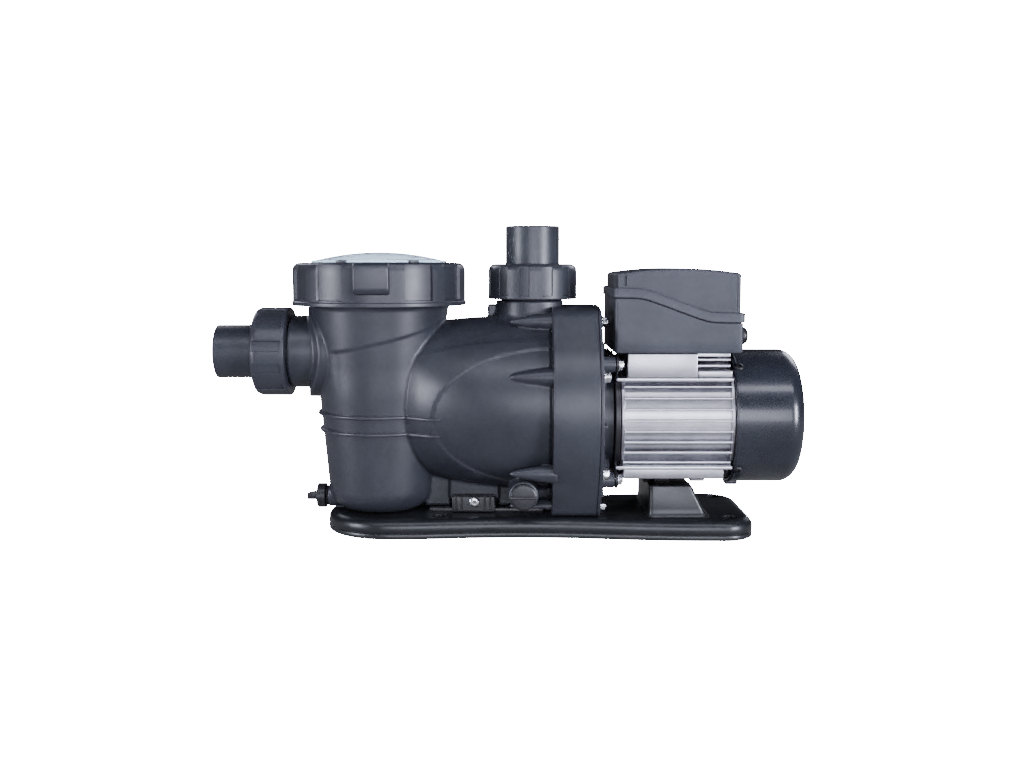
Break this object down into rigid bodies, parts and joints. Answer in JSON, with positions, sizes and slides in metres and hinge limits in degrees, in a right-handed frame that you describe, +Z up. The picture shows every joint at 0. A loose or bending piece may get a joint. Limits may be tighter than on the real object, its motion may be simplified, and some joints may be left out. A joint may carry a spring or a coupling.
{
  "type": "pool pump",
  "caption": "Self-contained pool circulation pump with strainer pot, clear screw lid, pipe unions, finned motor and terminal box on a base plate.",
  "frame": {"origin": "bottom centre of the pump's box, on the floor it stands on", "axes": "+X along the shaft from the inlet to the fan, +Z up"},
  "size_m": [0.541, 0.194, 0.283],
  "materials": {
    "housing_moulding": "satin",
    "base_moulding": "satin",
    "box_moulding": "satin",
    "fan_cover_plastic": "gloss",
    "black_plastic": "satin",
    "internal_plastic": "matte",
    "basket_plastic": "satin",
    "clear_lens": "gloss",
    "rubber": "matte",
    "aluminium": "die cast",
    "bright_steel": "zinc plated",
    "ground_steel": "ground",
    "lamination": "satin",
    "copper": "enamelled",
    "ceramic": "matte"
  },
  "bodies": {
    "pump": {"base_plate": "base_moulding", "motor_rest_pad": "rubber", "clamp_block": "black_plastic", "clamp_bolt": "bright_steel", "pump_housing": "housing_moulding", "seal_plate": "housing_moulding", "housing_o_ring": "rubber", "seal_stationary": "ceramic", "diffuser": "internal_plastic", "front_bearing": "ground_steel", "rear_bearing": "ground_steel", "stator_core": "lamination", "winding_front": "copper", "winding_rear": "copper", "front_shield": "black_plastic", "rear_shield": "aluminium", "motor_frame": "aluminium", "fan_cover": "fan_cover_plastic", "terminal_box": "box_moulding", "terminal_box_cover": "box_moulding", "box_gasket": "rubber", "terminal_block": "ceramic", "capacitor": "black_plastic", "gland_body": "black_plastic", "gland_nut": "black_plastic", "fan_cover_screw_1": "black_plastic", "motor_bolt_1": "bright_steel", "fan_cover_screw_2": "black_plastic", "motor_bolt_2": "bright_steel", "fan_cover_screw_3": "black_plastic", "motor_bolt_3": "bright_steel", "fan_cover_screw_4": "black_plastic", "motor_bolt_4": "bright_steel", "flange_bolt_1": "bright_steel", "flange_bolt_2": "bright_steel", "flange_bolt_3": "bright_steel", "flange_bolt_4": "bright_steel", "flange_bolt_5": "bright_steel", "flange_bolt_6": "bright_steel", "flange_bolt_7": "bright_steel", "flange_bolt_8": "bright_steel"},
    "rotor": {"motor_shaft": "ground_steel", "rotor_core": "lamination", "impeller": "internal_plastic", "seal_rotary": "internal_plastic", "cooling_fan": "internal_plastic"},
    "lid": {"lid_lens": "clear_lens", "lid_o_ring": "rubber"},
    "lid_ring": {"lid_ring": "housing_moulding"},
    "basket": {"strainer_basket": "basket_plastic"},
    "inlet_tail": {"inlet_tailpiece": "housing_moulding", "inlet_union_o_ring": "rubber"},
    "inlet_nut": {"inlet_union_nut": "housing_moulding"},
    "outlet_tail": {"outlet_tailpiece": "housing_moulding", "outlet_union_o_ring": "rubber"},
    "outlet_nut": {"outlet_union_nut": "housing_moulding"},
    "front_plug_seal": {"front_drain_o_ring": "rubber"},
    "front_plug": {"front_drain_plug": "black_plastic"},
    "pot_plug_seal": {"pot_drain_o_ring": "rubber"},
    "pot_plug": {"pot_drain_plug": "black_plastic"}
  },
  "joints": [
    {"name": "shaft_spin", "type": "hinge", "parent": "pump", "child": "rotor", "pos_m": [0.1, 0, 0.106], "axis": [1, 0, 0], "continuous": true},
    {"name": "lid_lift", "type": "slide", "parent": "pump", "child": "lid", "axis": [0, 0, 1], "range_m": [0, 0.36]},
    {"name": "lid_ring_turn", "type": "hinge", "parent": "lid", "child": "lid_ring", "pos_m": [-0.118, 0, 0.226], "axis": [0, 0, 1], "range_deg": [0, 90]},
    {"name": "basket_lift", "type": "slide", "parent": "pump", "child": "basket", "axis": [0, 0, 1], "range_m": [0, 0.1801]},
    {"name": "inlet_tail_slide", "type": "slide", "parent": "pump", "child": "inlet_tail", "axis": [-1, 0, 0], "range_m": [0, 0.0201]},
    {"name": "inlet_nut_turn", "type": "hinge", "parent": "inlet_tail", "child": "inlet_nut", "pos_m": [-0.2013, 0, 0.1663], "axis": [-1, 0, 0], "range_deg": [0, 1800]},
    {"name": "outlet_tail_slide", "type": "slide", "parent": "pump", "child": "outlet_tail", "axis": [0, 0, 1], "range_m": [0, 0.0201]},
    {"name": "outlet_nut_turn", "type": "hinge", "parent": "outlet_tail", "child": "outlet_nut", "pos_m": [0.025, 0, 0.2157], "axis": [0, 0, 1], "range_deg": [0, 1800]},
    {"name": "front_plug_slide", "type": "slide", "parent": "pump", "child": "front_plug_seal", "axis": [0, -1, 0], "range_m": [0, 0.0176]},
    {"name": "front_plug_turn", "type": "hinge", "parent": "front_plug_seal", "child": "front_plug", "pos_m": [0.0162, -0.07, 0.042], "axis": [0, -1, 0], "range_deg": [0, 2520]},
    {"name": "pot_plug_slide", "type": "slide", "parent": "pump", "child": "pot_plug_seal", "axis": [-1, 0, 0], "range_m": [0, 0.0151]},
    {"name": "pot_plug_turn", "type": "hinge", "parent": "pot_plug_seal", "child": "pot_plug", "pos_m": [-0.1685, 0, 0.0288], "axis": [-1, 0, 0], "range_deg": [0, 2160]}
  ],
  "couplings": [
    {"joint": "basket_lift", "follows": "lid_lift", "ratio": 0.5},
    {"joint": "inlet_tail_slide", "follows": "inlet_nut_turn", "m_per_rad": 0.00063662},
    {"joint": "outlet_tail_slide", "follows": "outlet_nut_turn", "m_per_rad": 0.00063662},
    {"joint": "front_plug_slide", "follows": "front_plug_turn", "m_per_rad": 0.00039789},
    {"joint": "pot_plug_slide", "follows": "pot_plug_turn", "m_per_rad": 0.00039789}
  ]
}
